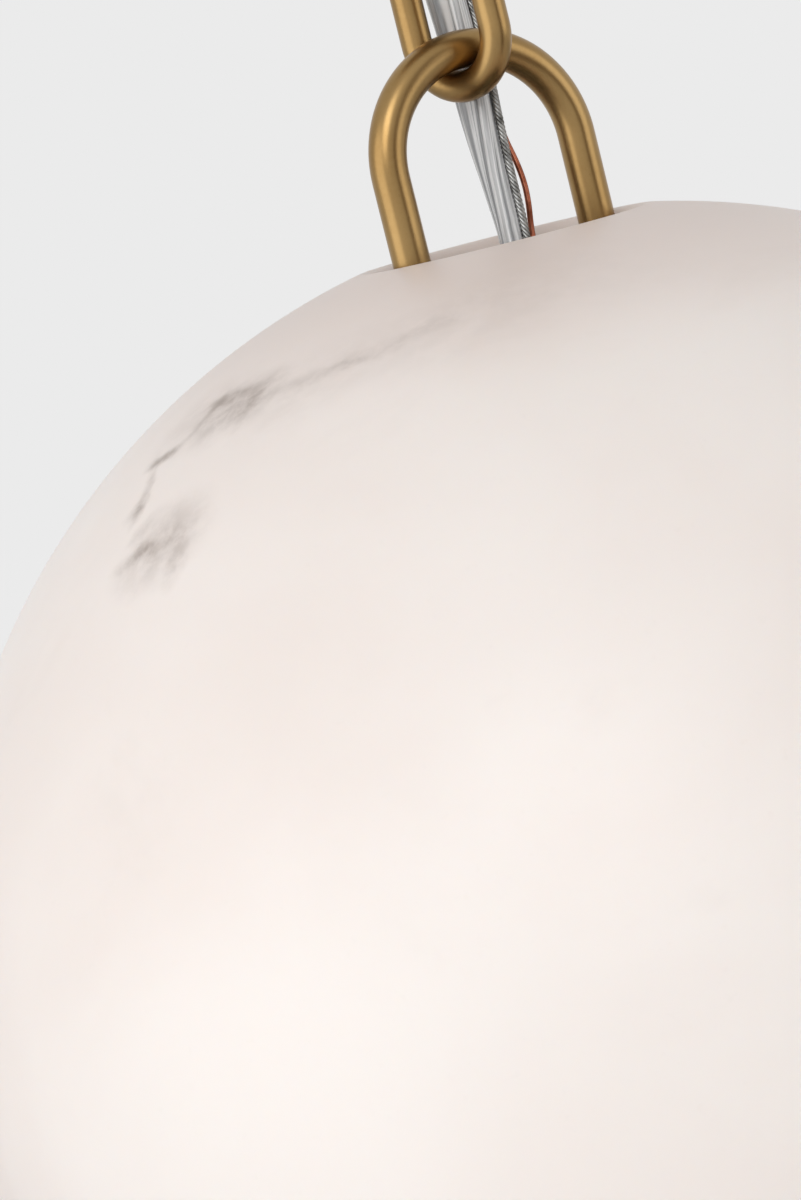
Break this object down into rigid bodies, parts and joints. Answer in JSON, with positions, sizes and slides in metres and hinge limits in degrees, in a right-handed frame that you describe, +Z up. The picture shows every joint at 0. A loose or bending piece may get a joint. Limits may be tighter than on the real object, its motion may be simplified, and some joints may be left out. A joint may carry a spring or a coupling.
{
  "type": "pendant light",
  "caption": "Upturned stone bowl pendant light on a U-shaped bail, short oval-link chain, woven flat cord and domed ceiling canopy.",
  "frame": {"origin": "middle of the crossbar's upper face, in the ceiling plane, on the light's axis", "axes": "+Z up along the light's axis; the picture looks along about +Y with +X to its right"},
  "size_m": [0.248, 0.248, 0.4108],
  "materials": {
    "brass": "satin antique brass",
    "alabaster": "smooth, lightly veined",
    "zinc_steel": "zinc plated",
    "green_screw": "green",
    "gasket_rubber": "matt",
    "black_plastic": "moulded",
    "socket_brass": "bright",
    "fibre": "pressed fibre",
    "opal_glass": "opal",
    "lamp_base_metal": "rolled",
    "clear_cord": "clear, over tinned strands",
    "copper": "bare copper",
    "tinned_copper": "tinned strands"
  },
  "bodies": {
    "ceiling": {"crossbar": "zinc_steel", "crossbar_ground_screw": "green_screw", "ceiling_nipple": "zinc_steel", "nipple_locknut": "zinc_steel", "canopy_loop": "brass", "cord_leads": "tinned_copper", "lamp_cord_5": "clear_cord", "ground_wire_5": "copper"},
    "canopy": {"canopy": "brass"},
    "collar": {"collar_ring": "brass"},
    "link_4": {"chain_link_4": "brass", "lamp_cord_4": "clear_cord", "ground_wire_4": "copper"},
    "link_3": {"chain_link_3": "brass", "lamp_cord_3": "clear_cord", "ground_wire_3": "copper"},
    "link_2": {"chain_link_2": "brass", "lamp_cord_2": "clear_cord", "ground_wire_2": "copper"},
    "link_1": {"chain_link_1": "brass"},
    "bowl": {"bail": "brass", "bowl": "alabaster", "bowl_gasket": "gasket_rubber", "support_disc": "zinc_steel", "bail_washers": "zinc_steel", "bail_lock_washers": "zinc_steel", "bail_nuts": "zinc_steel", "lamp_stem": "zinc_steel", "stem_locknuts": "zinc_steel", "stem_bushing": "black_plastic", "bowl_ground_screw": "green_screw", "ground_lug": "socket_brass", "socket_cap": "socket_brass", "socket_shell": "socket_brass", "socket_liner": "fibre", "socket_block": "black_plastic", "terminal_screws": "socket_brass", "socket_thread": "socket_brass", "socket_contact": "socket_brass", "lamp_cord_1": "clear_cord", "ground_wire_1": "copper"},
    "lamp": {"lamp_contact": "socket_brass", "lamp_insulator": "black_plastic", "lamp_screw_base": "lamp_base_metal", "lamp_glass": "opal_glass"}
  },
  "joints": [
    {"name": "link_4_swing", "type": "hinge", "parent": "ceiling", "child": "link_4", "pos_m": [0, 0, -0.068], "axis": [0.766, -0.6428, 0], "range_deg": [-30, 30], "deforming": ["lamp_cord_5", "ground_wire_5"]},
    {"name": "link_3_swing", "type": "hinge", "parent": "link_4", "child": "link_3", "pos_m": [0, 0, -0.10155], "axis": [0.6428, 0.766, 0], "range_deg": [-30, 30], "deforming": ["lamp_cord_4", "ground_wire_4"]},
    {"name": "link_2_swing", "type": "hinge", "parent": "link_3", "child": "link_2", "pos_m": [0, 0, -0.13565], "axis": [0.766, -0.6428, 0], "range_deg": [-30, 30], "deforming": ["lamp_cord_3", "ground_wire_3"]},
    {"name": "link_1_swing", "type": "hinge", "parent": "link_2", "child": "link_1", "pos_m": [0, 0, -0.16975], "axis": [0.6428, 0.766, 0], "range_deg": [-30, 30], "deforming": ["lamp_cord_2", "ground_wire_2"]},
    {"name": "bowl_swing", "type": "hinge", "parent": "link_1", "child": "bowl", "pos_m": [0, 0, -0.20385], "axis": [0.766, -0.6428, 0], "range_deg": [-30, 30], "deforming": ["lamp_cord_1", "ground_wire_1"]},
    {"name": "collar_drop", "type": "slide", "parent": "ceiling", "child": "collar", "axis": [0, 0, -1], "range_m": [0, 0.03]},
    {"name": "canopy_drop", "type": "slide", "parent": "ceiling", "child": "canopy", "axis": [0, 0, -1], "range_m": [0, 0.03]},
    {"name": "lamp_turn", "type": "hinge", "parent": "bowl", "child": "lamp", "pos_m": [0, 0, -0.3], "axis": [0, 0, 1], "range_deg": [-1260, 0]}
  ],
  "couplings": [
    {"joint": "canopy_drop", "follows": "collar_drop", "ratio": 1}
  ]
}
